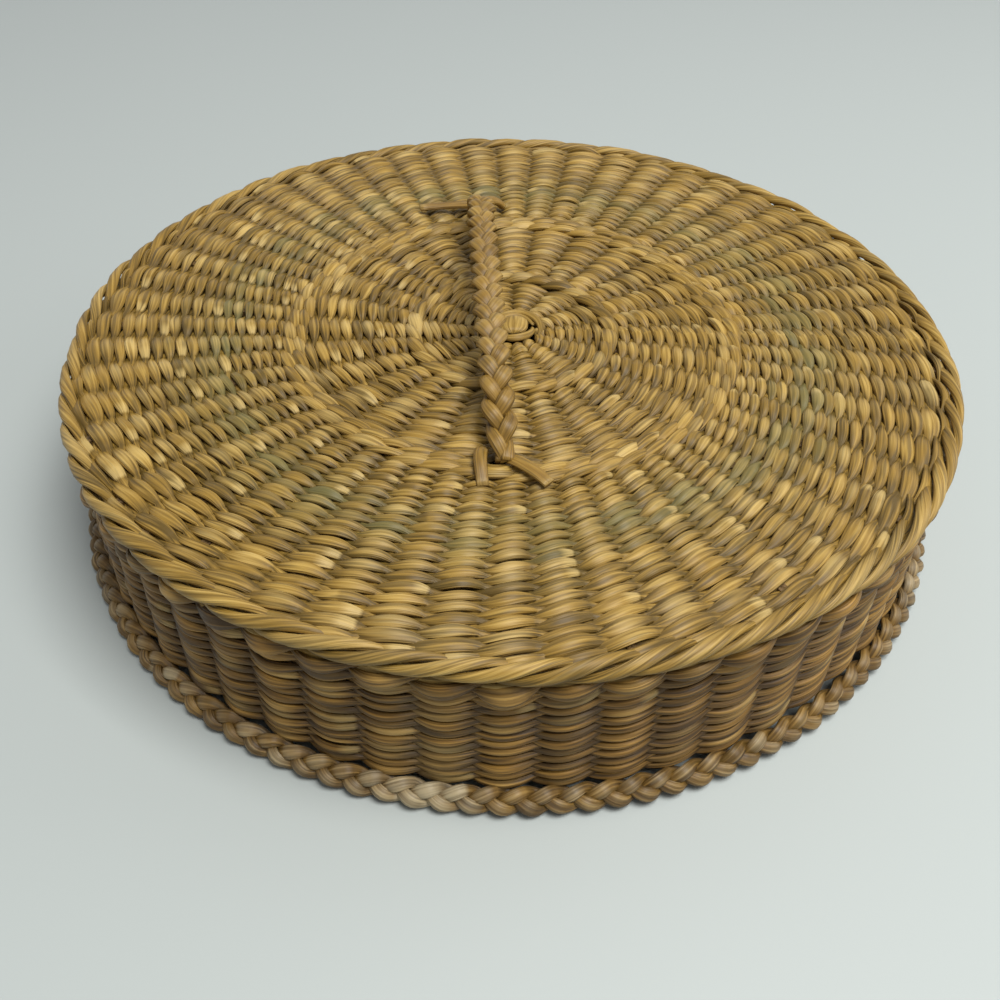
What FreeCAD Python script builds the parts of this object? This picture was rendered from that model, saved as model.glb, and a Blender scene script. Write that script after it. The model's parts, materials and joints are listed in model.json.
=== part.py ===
import FreeCAD, Part
import math
import os
import Sketcher

# A round twined basket with a lid, for keeping tortillas warm. The lid is a flat disc with a deep skirt that
# slips over a shallow basket until its plaited border stands on the table. Rush strands are twined round flat
# stakes that run out from the middle like spokes, double twice on the way, turn down at the corner and end in
# the border. A low plaited handle arches over the lid. Millimetres, +Z up, with the origin on the table under
# the middle. One radius, the lid's, sets the others: each ring lies its own width inside or outside the next.

V = FreeCAD.Vector
PARTS_FOLDER = "parts"

DRIVING_SIZES = [
    # How many stakes leave the middle. Twice as many pass the first ring, and four times as many the second.
    ("centre_stakes", 14),
    ("stake_width", 2.6),
    ("stake_thickness", 1.4),
    ("stake_start", 10),
    # The lid's flat top: its underside, the twined slab and the ribs that swell over each stake.
    ("lid_underside", 53),
    ("lid_slab", 4),
    ("rib_height", 1.2),
    ("rib_slope", 45),
    ("button_radius", 6),
    ("button_sides", 14),
    ("button_rise", 2),
    ("first_ring_radius", 31),
    ("first_band_width", 3),
    ("first_band_height", 1.5),
    ("second_ring_radius", 69),
    ("second_band_width", 5),
    ("second_band_height", 2),
    # The wale that rounds the corner is the lid's widest part: how far it reaches in, down and above the ribs.
    ("lid_radius", 141),
    ("corner_rope_width", 10.5),
    ("corner_rope_drop", 3),
    ("corner_rope_lift", 0.2),
    ("rope_round", 2),
    # The skirt hangs a little inside the wale, with one raised row under it. The plait at its foot leans back:
    # it is widest low down and its sloping face looks up and outwards.
    ("skirt_inset", 3.5),
    ("skirt_thickness", 5.5),
    ("skirt_rib", 0.9),
    ("corner_row_height", 5),
    ("corner_row_depth", 2.3),
    ("corner_row_slope", 1.25),
    ("border_overhang", 3.2),
    ("border_width", 9.4),
    ("border_height", 8),
    ("border_toe_height", 2.8),
    ("border_toe_round", 1.2),
    ("border_slope", 4.2),
    ("border_lobes", 84),
    ("border_notch", 1.1),
    # The basket inside: a plaited rim with room to slide in the skirt, and the wall, corner wale and bottom.
    ("rim_play", 1.8),
    ("rim_width", 11.4),
    ("rim_height", 10.7),
    ("lid_seat_gap", 0.3),
    ("base_wall_inset", 4.2),
    ("base_wall_thickness", 5.4),
    ("base_rope_inset", 2.8),
    ("base_rope_width", 7.9),
    ("base_rope_height", 7),
    ("base_slab", 4.5),
    # The plaited handle: where its two ends leave the lid, its arch, and its three strands.
    ("near_end_x", -2),
    ("near_end_y", -65),
    ("far_end_x", -12),
    ("far_end_y", 77),
    ("handle_rise", 12),
    ("handle_bow", -1.4),
    ("handle_gap", 0.3),
    ("plait_turns", 6),
    ("plait_reach", 3.4),
    ("plait_depth", 2.05),
    ("gather_share", 0.05),
    ("bundle_ease", 0.3),
    ("strand_half_width", 1.9),
    ("strand_half_thickness", 1.2),
    ("tail_thickness", 2.2),
    ("tail_bevel", 0.8),
]

doc = FreeCAD.newDocument("TwinedBasket")
sheet = doc.addObject("Spreadsheet::Sheet", "sizes")
for row, (alias, number) in enumerate(DRIVING_SIZES, start=1):
    sheet.set(f"A{row}", alias)
    sheet.set(f"B{row}", str(number))
    sheet.setAlias(f"B{row}", alias)
doc.recompute()

# Counts, heights and radii that several pieces share, as expressions on the sheet.
CENTRE_COLUMNS = "sizes.centre_stakes"
INNER_COLUMNS = "(2 * sizes.centre_stakes)"
COLUMNS = "(4 * sizes.centre_stakes)"
FIELD_RADIUS = "(sizes.lid_radius - sizes.corner_rope_width)"
SKIRT_BORE = "(sizes.lid_radius - sizes.skirt_inset - sizes.skirt_thickness)"
SKIRT_TOP = "(sizes.lid_underside - sizes.corner_rope_drop)"
RIM_RADIUS = f"({SKIRT_BORE} - sizes.rim_play)"
BASE_WALL_BORE = f"({RIM_RADIUS} - sizes.base_wall_inset - sizes.base_wall_thickness)"
BASE_WALL_TOP = "(sizes.lid_underside - sizes.lid_seat_gap - sizes.rim_height)"
BASE_FIELD_RADIUS = f"({RIM_RADIUS} - sizes.base_rope_inset - sizes.base_rope_width)"
LID_FLOOR = "sizes.lid_underside"
LID_VALLEY = "(sizes.lid_underside + sizes.lid_slab)"
LID_RIDGE = "(sizes.lid_underside + sizes.lid_slab + sizes.rib_height)"
BAND_TOP = "(sizes.lid_underside + sizes.lid_slab + sizes.second_band_height)"
STAKE_LOW = "(sizes.lid_underside + sizes.lid_slab / 2 - sizes.stake_thickness / 2)"
STAKE_HIGH = "(sizes.lid_underside + sizes.lid_slab / 2 + sizes.stake_thickness / 2)"
STAKE_INNER_FACE = f"({SKIRT_BORE} + sizes.skirt_thickness / 2 - sizes.stake_thickness / 2)"
STAKE_OUTER_FACE = f"({SKIRT_BORE} + sizes.skirt_thickness / 2 + sizes.stake_thickness / 2)"
HALF_STAKE = "(sizes.stake_width / 2)"

# How finely the plaited strands are drawn.
STATIONS_PER_TURN = 8
STRAND_SIDES = 5
TANGENT_STEP = 0.002


def size(alias):
    """A driving dimension read back from the sheet."""
    return float(sheet.get(alias))


def new_body(label):
    """An empty body whose label names the piece."""
    body = doc.addObject("PartDesign::Body", label)
    body.Label = label
    return body


def origin_feature(body, role):
    """One of the body's own origin planes or axes."""
    return next(feature for feature in body.Origin.OriginFeatures if feature.Role == role)


def outline(body, name, plane, offset, loops):
    """A sketch of closed straight-sided loops. Each corner is a pair of expressions on the sheet."""
    sketch = body.newObject("Sketcher::SketchObject", name)
    sketch.AttachmentSupport = [(origin_feature(body, plane), "")]
    sketch.MapMode = "FlatFace"
    if offset:
        sketch.setExpression("AttachmentOffset.Base.z", offset)
    for loop in loops:
        first = sketch.GeometryCount
        count = len(loop)
        spots = [V(math.cos(math.tau * i / count), math.sin(math.tau * i / count), 0) for i in range(count)]
        for i in range(count):
            sketch.addGeometry(Part.LineSegment(spots[i], spots[(i + 1) % count]), False)
        for i in range(count):
            joined = Sketcher.Constraint("Coincident", first + i, 2, first + (i + 1) % count, 1)
            sketch.addConstraint(joined)
        for i, corner in enumerate(loop):
            for kind, expression, start in zip(("DistanceX", "DistanceY"), corner, (spots[i].x, spots[i].y)):
                row = sketch.addConstraint(Sketcher.Constraint(kind, -1, 1, first + i, 1, start))
                sketch.setExpression(f"Constraints[{row}]", expression)
    return sketch


def pad(body, name, sketch, length, symmetric=False):
    """The sketch pushed out by a length, to one side or to both."""
    feature = body.newObject("PartDesign::Pad", name)
    feature.Profile = sketch
    feature.setExpression("Length", length)
    if symmetric:
        feature.SideType = "Symmetric"
    return feature


def pocket(body, name, sketch, length):
    """A cut of the sketch, against its normal, to a length."""
    feature = body.newObject("PartDesign::Pocket", name)
    feature.Profile = sketch
    feature.setExpression("Length", length)
    return feature


def polar(body, count):
    """The body's whole shape so far, repeated in a full circle about the upright axis."""
    doc.recompute()
    pattern = body.newObject("PartDesign::PolarPattern", body.Label + "_round")
    pattern.TransformMode = "Whole shape"
    pattern.Axis = (origin_feature(body, "Z_Axis"), [""])
    pattern.Angle = 360
    pattern.setExpression("Occurrences", count)
    body.Tip = pattern
    return pattern


def turned(body, angle):
    """Turns the whole body about the upright axis by an expression in degrees."""
    body.Placement = FreeCAD.Placement(V(0, 0, 0), FreeCAD.Rotation(V(0, 0, 1), 1))
    body.setExpression("Placement.Rotation.Angle", angle)


def fan(inner, outer, count, doubles):
    """The plan of one column's sector of a disc, from an inner to an outer flat.

    Where the stakes double at the outer edge, that edge is broken at the middle of each new column, so that it
    lies face to face with the flats of the next, finer zone.
    """
    half = f"(180deg / {count})"
    quarter = f"(90deg / {count})"
    start = [(inner, f"-{inner} * tan{half}")]
    finish = [(inner, f"{inner} * tan{half}")]
    if not doubles:
        return start + [(outer, f"-{outer} * tan{half}"), (outer, f"{outer} * tan{half}")] + finish
    rim = [
        (f"{outer} * cos{half}", f"-{outer} * sin{half}"),
        (outer, f"-{outer} * tan{quarter}"),
        (outer, f"{outer} * tan{quarter}"),
        (f"{outer} * cos{half}", f"{outer} * sin{half}"),
    ]
    return start + rim + finish


def valley_groove(body, name, angle):
    """A V-shaped cut outwards along a valley at an angle, from the ribs' top down to the slab."""
    spread = "(2 * sizes.rib_height * tan(sizes.rib_slope * 1deg))"
    high = f"({LID_VALLEY} + 2 * sizes.rib_height)"
    vee = [("0", LID_VALLEY), (spread, high), (f"-{spread}", high)]
    sketch = outline(body, name + "_vee", "YZ_Plane", None, [vee])
    sketch.AttachmentOffset = FreeCAD.Placement(V(0, 0, 0), FreeCAD.Rotation(V(0, 1, 0), 1))
    sketch.setExpression("AttachmentOffset.Rotation.Angle", angle)
    groove = pocket(body, name, sketch, "2 * sizes.lid_radius")
    groove.Reversed = True
    return groove


def woven_zone(label, inner, outer, rib_inner, rib_outer, count, doubles, channel_start):
    """One zone of the lid's top: a slab with a rib over every stake, and the slot that the stake lies in."""
    body = new_body(label)
    plan = outline(body, label + "_plan", "XY_Plane", LID_FLOOR, [fan(inner, outer, count, doubles)])
    pad(body, label + "_slab", plan, "sizes.lid_slab")
    rib_plan = [fan(rib_inner, rib_outer, count, doubles)]
    crown = outline(body, label + "_crown", "XY_Plane", LID_VALLEY, rib_plan)
    pad(body, label + "_rib", crown, "sizes.rib_height")
    slot = [
        (f"-{HALF_STAKE}", STAKE_LOW),
        (HALF_STAKE, STAKE_LOW),
        (HALF_STAKE, STAKE_HIGH),
        (f"-{HALF_STAKE}", STAKE_HIGH),
    ]
    mouth = outline(body, label + "_mouth", "YZ_Plane", outer, [slot])
    pocket(body, label + "_channel", mouth, f"{outer} - {channel_start}")
    valley_groove(body, label + "_left_groove", f"180deg / {count}")
    valley_groove(body, label + "_right_groove", f"-180deg / {count}")
    polar(body, count)
    return body


def stakes(label, start, count, angle):
    """Stakes that run out flat from a start radius, turn down at the corner and end on the border plait."""
    body = new_body(label)
    profile = [
        (start, STAKE_HIGH),
        (start, STAKE_LOW),
        (STAKE_INNER_FACE, STAKE_LOW),
        (STAKE_INNER_FACE, "sizes.border_height"),
        (STAKE_OUTER_FACE, "sizes.border_height"),
        (STAKE_OUTER_FACE, STAKE_HIGH),
    ]
    side = outline(body, label + "_side", "XZ_Plane", None, [profile])
    pad(body, label + "_strip", side, "sizes.stake_width", symmetric=True)
    polar(body, count)
    turned(body, angle)
    return body


def fluted_wall(label, inner, thickness, rib, low, high, slot=None):
    """A ring of upright columns, each swelling outwards over its stake, with a slot for the stake if given."""
    body = new_body(label)
    half = f"(180deg / {COLUMNS})"
    valley = f"({inner} + {thickness} - {rib})"
    column = [
        (inner, f"-{inner} * tan{half}"),
        (valley, f"-{valley} * tan{half}"),
        (f"{inner} + {thickness}", "0"),
        (valley, f"{valley} * tan{half}"),
        (inner, f"{inner} * tan{half}"),
    ]
    loops = [column, slot] if slot else [column]
    plan = outline(body, label + "_plan", "XY_Plane", low, loops)
    pad(body, label + "_column", plan, f"{high} - {low}")
    polar(body, COLUMNS)
    return body


def plain_disc(label, inner, outer, count, doubles):
    """One zone of the basket's bottom, with its stakes left inside the slab."""
    body = new_body(label)
    plan = outline(body, label + "_plan", "XY_Plane", None, [fan(inner, outer, count, doubles)])
    pad(body, label + "_slab", plan, "sizes.base_slab")
    polar(body, count)
    return body


def button(label, low, high):
    """The little coil that closes the middle: a many-sided disc with a bevelled top."""
    body = new_body(label)
    rim = "(sizes.button_radius / cos(180deg / sizes.button_sides))"
    turns = [f"({i} + 0.5) * 360deg / sizes.button_sides" for i in range(int(size("button_sides")))]
    loop = [(f"{rim} * cos({turn})", f"{rim} * sin({turn})") for turn in turns]
    plan = outline(body, label + "_plan", "XY_Plane", low, [loop])
    disc = pad(body, label + "_disc", plan, f"{high} - {low}")
    doc.recompute()
    return bevelled(body, label, disc, "sizes.button_rise")


def bevelled(body, label, base, depth):
    """Bevels all round the upper face of the body's last feature."""
    faces = base.Shape.Faces
    top = max(range(len(faces)), key=lambda i: faces[i].CenterOfMass.z)
    bevel = body.newObject("PartDesign::Chamfer", label + "_bevel")
    bevel.Base = (base, [f"Face{top + 1}"])
    bevel.setExpression("Size", depth)
    body.Tip = bevel
    return body


def tail(label, anchor_x, anchor_y, low, corners):
    """A cut end of a handle strand, lying flat on the lid. Corners are offsets from the handle's end."""
    body = new_body(label)
    loop = [(f"{anchor_x} + ({x})", f"{anchor_y} + ({y})") for x, y in corners]
    plan = outline(body, label + "_plan", "XY_Plane", low, [loop])
    strip = pad(body, label + "_strip", plan, "sizes.tail_thickness")
    doc.recompute()
    return bevelled(body, label, strip, "sizes.tail_bevel")


def feature(label, shape):
    """A piece whose solid is worked out here rather than by a sketch."""
    piece = doc.addObject("Part::Feature", label)
    piece.Label = label
    piece.Shape = shape
    piece.Placement = FreeCAD.Placement()
    return piece


def flat_face(points):
    """A flat face through points given in order round it."""
    return Part.Face(Part.makePolygon(list(points) + [points[0]]))


def skinned(sections, closed, flat):
    """A solid skinned over matching cross-sections, as flat four-sided facets or as pairs of triangles."""
    faces = []
    count = len(sections)
    for i in range(count if closed else count - 1):
        one, two = sections[i], sections[(i + 1) % count]
        for j in range(len(one)):
            k = (j + 1) % len(one)
            if flat:
                faces.append(flat_face([one[j], one[k], two[k], two[j]]))
            else:
                faces.append(flat_face([one[j], one[k], two[k]]))
                faces.append(flat_face([one[j], two[k], two[j]]))
    if not closed:
        faces.append(flat_face(sections[0]))
        faces.append(flat_face(sections[-1]))
    solid = Part.makeSolid(Part.makeShell(faces))
    if solid.Volume < 0:
        solid.reverse()
    return solid


def bent_ring(section, count):
    """A ring that bends at the valley between every two stakes. The section is (radius, height) at a stake."""
    stretch = 1 / math.cos(math.pi / count)
    sections = []
    for i in range(count):
        angle = math.tau * (i + 0.5) / count
        sections.append(
            [V(r * stretch * math.cos(angle), r * stretch * math.sin(angle), z) for r, z in section]
        )
    return skinned(sections, closed=True, flat=True)


def lobed_ring(section, lobes, notch, loose):
    """A plaited ring seen as its outline: full at each lobe and drawn in by a notch between two lobes.

    Loose holds the numbers of the section's corners that the notch draws in.
    """
    sections = []
    for i in range(2 * lobes):
        angle = math.tau * (i + 0.5) / (2 * lobes)
        drawn = notch if i % 2 else 0
        radii = [r - drawn if j in loose else r for j, (r, z) in enumerate(section)]
        sections.append(
            [V(r * math.cos(angle), r * math.sin(angle), z) for r, (_, z) in zip(radii, section)]
        )
    return skinned(sections, closed=True, flat=False)


def band_section(radius, width, low, height):
    """A low flat band, in (radius, height)."""
    inner = radius - width / 2
    outer = radius + width / 2
    return [(inner, low), (outer, low), (outer, low + height), (inner, low + height)]


def handle_centre(share):
    """The middle line of the plait: a low arch with shoulders, bowed a little to one side."""
    near = V(size("near_end_x"), size("near_end_y"), handle_axis_height())
    far = V(size("far_end_x"), size("far_end_y"), handle_axis_height())
    along = (far - near).normalize()
    aside = along.cross(V(0, 0, 1))
    swing = 1 - (2 * share - 1) ** 4
    lifted = V(0, 0, 1) * (size("handle_rise") * swing)
    bowed = aside * (size("handle_bow") * swing)
    return near + (far - near) * share + lifted + bowed


def handle_axis_height():
    """The height at which the handle's ends meet the lid, so that their bundle just clears the ribs."""
    ridge = size("lid_underside") + size("lid_slab") + size("rib_height")
    return ridge + bundle_radius() + size("handle_gap")


def gathered_reach():
    """How far each strand lies from the middle of the bundle that the three of them make at an end."""
    return 2 / math.sqrt(3) * size("strand_half_thickness") + size("bundle_ease")


def bundle_radius():
    """The radius of the bundle at an end."""
    return gathered_reach() + size("strand_half_thickness")


def opening(share):
    """Runs from 0 at either end of the handle to 1 where its strands have left the bundle."""
    return min(1, share / size("gather_share"), (1 - share) / size("gather_share"))


def strand_middle(share, phase):
    """A strand's middle line: side to side once and up and down twice in every turn of the plait."""
    ahead = handle_centre(min(share + TANGENT_STEP, 1))
    behind = handle_centre(max(share - TANGENT_STEP, 0))
    tangent = (ahead - behind).normalize()
    chord = handle_centre(1) - handle_centre(0)
    aside = chord.cross(V(0, 0, 1)).normalize()
    upward = aside.cross(tangent).normalize()
    turn = math.tau * size("plait_turns") * share + math.pi / 2 + phase
    gathered = gathered_reach()
    free = opening(share)
    open_up = free * free * (3 - 2 * free)
    reach = gathered + (size("plait_reach") - gathered) * open_up
    depth = gathered + (size("plait_depth") - gathered) * open_up
    swung = aside * (reach * math.sin(turn)) + upward * (depth * math.sin(2 * turn))
    return handle_centre(share) + swung, upward


def handle_strand(phase):
    """One strand of the plaited handle, a flattened five-sided rush that goes over and under the others."""
    stations = int(size("plait_turns")) * STATIONS_PER_TURN
    corners = [math.tau * (j + 0.5) / STRAND_SIDES for j in range(STRAND_SIDES)]
    thick = size("strand_half_thickness")
    sections = []
    for i in range(stations + 1):
        share = i / stations
        middle, upward = strand_middle(share, phase)
        before, _ = strand_middle(max(share - TANGENT_STEP, 0), phase)
        after, _ = strand_middle(min(share + TANGENT_STEP, 1), phase)
        tangent = (after - before).normalize()
        across = tangent.cross(upward).normalize()
        over = across.cross(tangent).normalize()
        wide = thick + (size("strand_half_width") - thick) * opening(share)
        sections.append(
            [middle + across * (wide * math.cos(turn)) + over * (thick * math.sin(turn)) for turn in corners]
        )
    return skinned(sections, closed=False, flat=False)


pieces = []

# The lid's top, from the middle outwards.
first_inner_edge = "(sizes.first_ring_radius - sizes.first_band_width / 2)"
first_outer_edge = "(sizes.first_ring_radius + sizes.first_band_width / 2)"
second_inner_edge = "(sizes.second_ring_radius - sizes.second_band_width / 2)"
second_outer_edge = "(sizes.second_ring_radius + sizes.second_band_width / 2)"
middle_edge = "sizes.button_radius"
pieces.append(button("lid_centre_button", LID_FLOOR, f"({LID_RIDGE} + sizes.button_rise / 2)"))
pieces.append(
    woven_zone(
        "lid_centre_weave", middle_edge, "sizes.first_ring_radius", middle_edge, first_inner_edge,
        CENTRE_COLUMNS, True, "sizes.stake_start",
    )
)
pieces.append(
    woven_zone(
        "lid_inner_weave", "sizes.first_ring_radius", "sizes.second_ring_radius", first_outer_edge,
        second_inner_edge, INNER_COLUMNS, True, "sizes.first_ring_radius",
    )
)
pieces.append(
    woven_zone(
        "lid_outer_weave", "sizes.second_ring_radius", FIELD_RADIUS, second_outer_edge,
        FIELD_RADIUS, COLUMNS, False, "sizes.second_ring_radius",
    )
)
pieces.append(stakes("lid_first_stakes", "sizes.stake_start", CENTRE_COLUMNS, "0deg"))
pieces.append(stakes("lid_second_stakes", "sizes.first_ring_radius", CENTRE_COLUMNS, f"720deg / {COLUMNS}"))
pieces.append(stakes("lid_third_stakes", "sizes.second_ring_radius", INNER_COLUMNS, f"360deg / {COLUMNS}"))

# The bands laid over the rows where new stakes come in.
columns = 4 * int(size("centre_stakes"))
valley = size("lid_underside") + size("lid_slab")
for name, count in (("first", columns // 2), ("second", columns)):
    radius, width, height = (size(f"{name}_{word}") for word in ("ring_radius", "band_width", "band_height"))
    pieces.append(feature(f"lid_{name}_ring", bent_ring(band_section(radius, width, valley, height), count)))

# The corner wale, rounded outside and fitted round the bend of the stakes inside.
lid_radius = size("lid_radius")
field_radius = lid_radius - size("corner_rope_width")
skirt_face = lid_radius - size("skirt_inset")
skirt_bore = skirt_face - size("skirt_thickness")
skirt_top = size("lid_underside") - size("corner_rope_drop")
stake_top = valley - size("lid_slab") / 2 + size("stake_thickness") / 2
stake_face = skirt_bore + size("skirt_thickness") / 2 + size("stake_thickness") / 2
crown = valley + size("rib_height") + size("corner_rope_lift")
rounding = size("rope_round")
corner_rope = [
    (field_radius, stake_top),
    (stake_face, stake_top),
    (stake_face, skirt_top),
    (lid_radius - rounding, skirt_top),
    (lid_radius, skirt_top + rounding),
    (lid_radius, crown - rounding),
    (lid_radius - rounding, crown),
    (field_radius, crown),
]
pieces.append(feature("lid_corner_rope", bent_ring(corner_rope, columns)))

# The skirt, the raised row under the corner and the plaited border that the lid stands on.
skirt_slot = [
    (STAKE_INNER_FACE, f"-{HALF_STAKE}"),
    (STAKE_OUTER_FACE, f"-{HALF_STAKE}"),
    (STAKE_OUTER_FACE, HALF_STAKE),
    (STAKE_INNER_FACE, HALF_STAKE),
]
pieces.append(
    fluted_wall(
        "lid_skirt_weave", SKIRT_BORE, "sizes.skirt_thickness", "sizes.skirt_rib",
        "sizes.border_height", SKIRT_TOP, skirt_slot,
    )
)
row_face = skirt_face + size("corner_row_depth")
row_low = skirt_top - size("corner_row_height")
corner_row = [
    (skirt_face, row_low),
    (row_face, row_low + size("corner_row_slope")),
    (row_face, skirt_top - size("corner_row_slope")),
    (skirt_face, skirt_top),
]
pieces.append(feature("lid_corner_row", bent_ring(corner_row, columns)))
border_outer = lid_radius + size("border_overhang")
border_inner = border_outer - size("border_width")
border_high = size("border_height")
border = [
    (border_inner, 0),
    (border_outer - size("border_toe_round"), 0),
    (border_outer, size("border_toe_height")),
    (border_outer - size("border_slope"), border_high),
    (border_inner, border_high),
]
pieces.append(
    feature("lid_border_plait", lobed_ring(border, int(size("border_lobes")), size("border_notch"), (1, 2, 3)))
)

# The handle: three strands plaited over and under each other, and the cut ends that lie on the lid.
for number in range(3):
    pieces.append(feature(f"handle_strand_{number + 1}", handle_strand(math.tau * number / 3)))
near_left = [("-0.6", "-3.2"), ("-3.6", "-2.2"), ("-7", "-8.5"), ("-3.7", "-9.7")]
near_right = [("3.8", "-2.4"), ("0.6", "-3.3"), ("8.4", "-12.2"), ("11.6", "-9.8")]
far_left = [("-2.6", "-0.6"), ("-2.6", "3"), ("-22.4", "-1.2"), ("-22.4", "-4.8")]
far_right = [("2.7", "-0.6"), ("8", "-1.6"), ("8.6", "1.4"), ("2.7", "3")]
pieces.append(tail("handle_near_left_tail", "sizes.near_end_x", "sizes.near_end_y", BAND_TOP, near_left))
pieces.append(tail("handle_near_right_tail", "sizes.near_end_x", "sizes.near_end_y", BAND_TOP, near_right))
pieces.append(tail("handle_far_long_tail", "sizes.far_end_x", "sizes.far_end_y", LID_RIDGE, far_left))
pieces.append(tail("handle_far_short_tail", "sizes.far_end_x", "sizes.far_end_y", LID_RIDGE, far_right))

# The basket under the lid.
pieces.append(button("base_centre_button", "0", "(sizes.base_slab + sizes.button_rise / 2)"))
pieces.append(plain_disc("base_centre_weave", middle_edge, "sizes.first_ring_radius", CENTRE_COLUMNS, True))
pieces.append(
    plain_disc("base_inner_weave", "sizes.first_ring_radius", "sizes.second_ring_radius", INNER_COLUMNS, True)
)
pieces.append(plain_disc("base_outer_weave", "sizes.second_ring_radius", BASE_FIELD_RADIUS, COLUMNS, False))
rim_out = skirt_bore - size("rim_play")
rope_out = rim_out - size("base_rope_inset")
rope_in = rope_out - size("base_rope_width")
rope_high = size("base_rope_height")
base_rope = [
    (rope_in, 0),
    (rope_out - rounding, 0),
    (rope_out, rounding),
    (rope_out, rope_high - rounding),
    (rope_out - rounding / 2, rope_high),
    (rope_in, rope_high),
]
pieces.append(feature("base_corner_rope", bent_ring(base_rope, columns)))
pieces.append(
    fluted_wall(
        "base_wall_weave", BASE_WALL_BORE, "sizes.base_wall_thickness", "sizes.skirt_rib",
        "sizes.base_rope_height", BASE_WALL_TOP,
    )
)
rim_in = rim_out - size("rim_width")
rim_high = size("lid_underside") - size("lid_seat_gap")
rim_low = rim_high - size("rim_height")
rim = [
    (rim_in + rounding, rim_low),
    (rim_out - rounding, rim_low),
    (rim_out, (rim_low + rim_high) / 2),
    (rim_out - rounding, rim_high),
    (rim_in + rounding, rim_high),
    (rim_in, (rim_low + rim_high) / 2),
]
pieces.append(feature("base_rim_plait", bent_ring(rim, columns)))

doc.recompute()

failed = [item.Label for item in doc.Objects if "Invalid" in item.State or "Error" in item.State]
if failed:
    raise RuntimeError(f"these objects failed: {failed}")
for piece in pieces:
    if piece.Shape.isNull() or not piece.Shape.isValid() or piece.Shape.Volume <= 0:
        raise RuntimeError(f"{piece.Label} has no valid solid")

os.makedirs(PARTS_FOLDER, exist_ok=True)
for piece in pieces:
    piece.Shape.exportStep(os.path.join(PARTS_FOLDER, piece.Label + ".step"))
    print(f"{piece.Label}: {len(piece.Shape.Solids)} solids, {piece.Shape.Volume / 1000:.2f} cm3")
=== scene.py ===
"""A twined rush tortilla warmer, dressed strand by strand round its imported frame.

Every row of twining is a real pair of strands that pass in front of one stake and behind the next and cross
in the valley between them. The corner rope, the rings where new stakes come in, the borders and the handle
are thicker work of the same rush. Metres, +Z up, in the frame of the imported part.
"""
import enum
import json
import logging
import math
from dataclasses import dataclass, field, replace

import bpy
import numpy as np
from mathutils import Matrix, Vector


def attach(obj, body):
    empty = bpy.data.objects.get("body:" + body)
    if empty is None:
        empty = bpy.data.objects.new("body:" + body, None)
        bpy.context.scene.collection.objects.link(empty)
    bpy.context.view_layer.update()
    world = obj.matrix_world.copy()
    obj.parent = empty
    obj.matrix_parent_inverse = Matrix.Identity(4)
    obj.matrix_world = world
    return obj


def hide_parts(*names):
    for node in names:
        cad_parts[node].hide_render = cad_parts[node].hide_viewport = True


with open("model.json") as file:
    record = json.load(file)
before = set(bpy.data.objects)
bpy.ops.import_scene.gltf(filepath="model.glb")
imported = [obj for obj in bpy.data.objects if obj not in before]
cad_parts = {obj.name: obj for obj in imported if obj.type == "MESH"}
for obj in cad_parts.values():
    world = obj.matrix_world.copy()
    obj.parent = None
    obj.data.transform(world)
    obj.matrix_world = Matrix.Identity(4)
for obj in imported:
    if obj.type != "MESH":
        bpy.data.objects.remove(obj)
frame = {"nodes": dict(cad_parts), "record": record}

log = logging.getLogger("tortilla_warmer")
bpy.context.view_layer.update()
MM = 0.001
TURN = math.tau
UP = np.array([0.0, 0.0, 1.0])
Point = tuple[float, float, float]


def linear(code: str) -> tuple[float, float, float, float]:
    """Turns an sRGB hex colour into the linear colour that a shader takes.

    Args:
        code: six hex digits, such as "c8a66a".

    Returns:
        Red, green, blue and an alpha of 1.
    """
    parts = [int(code[i:i + 2], 16) / 255 for i in (0, 2, 4)]
    return tuple(p / 12.92 if p <= 0.04045 else ((p + 0.055) / 1.055) ** 2.4 for p in parts) + (1.0,)


def smooth(value: np.ndarray) -> np.ndarray:
    """Eases 0 to 1 with level ends: three times the square less twice the cube."""
    value = np.clip(value, 0.0, 1.0)
    return value * value * (3 - 2 * value)


def unit(vectors: np.ndarray) -> np.ndarray:
    """Scales each vector of an array to a length of one."""
    return vectors / np.linalg.norm(vectors, axis=-1, keepdims=True)


def ring_out(angle: np.ndarray) -> np.ndarray:
    """Level directions that lead away from the upright axis at the given angles."""
    return np.stack([np.cos(angle), np.sin(angle), 0 * angle], axis=-1)


class Weave(enum.Enum):
    """How a row is worked: the number of stakes that a strand passes in front of between two dips behind."""

    PAIR = 1
    WALE = 2


class Body(enum.Enum):
    """The moving bodies of the frame."""

    BASE = "base"
    LID = "lid"
    HANDLE = "handle"


@dataclass(frozen=True)
class Mark:
    """A place where the work differs: strands pressed apart round it, or bleached pale.

    The sizes are in metres, and pale is how strongly the rush is bleached.
    """

    x: float
    y: float
    reach: float
    part: float = 0.0
    pale: float = 0.0

    def nearness(self, points: np.ndarray) -> np.ndarray:
        """One at the mark's middle, falling with distance as a bell curve of the mark's reach."""
        gap = np.hypot(points[..., 0] - self.x, points[..., 1] - self.y)
        return np.exp(-0.5 * (gap / self.reach) ** 2)

    def press(self, points: np.ndarray, rimward: np.ndarray) -> np.ndarray:
        """Moves points towards or away from the rim, whichever leads away from the mark.

        Args:
            points: the points, (..., 3).
            rimward: for each point, the level direction that leads to the rim.

        Returns:
            The points, each moved by part times its nearness.
        """
        side = (points[..., 0] - self.x) * rimward[..., 0] + (points[..., 1] - self.y) * rimward[..., 1]
        push = self.part * self.nearness(points) * np.tanh(side / MM)
        return points + rimward * push[..., None]


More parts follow.
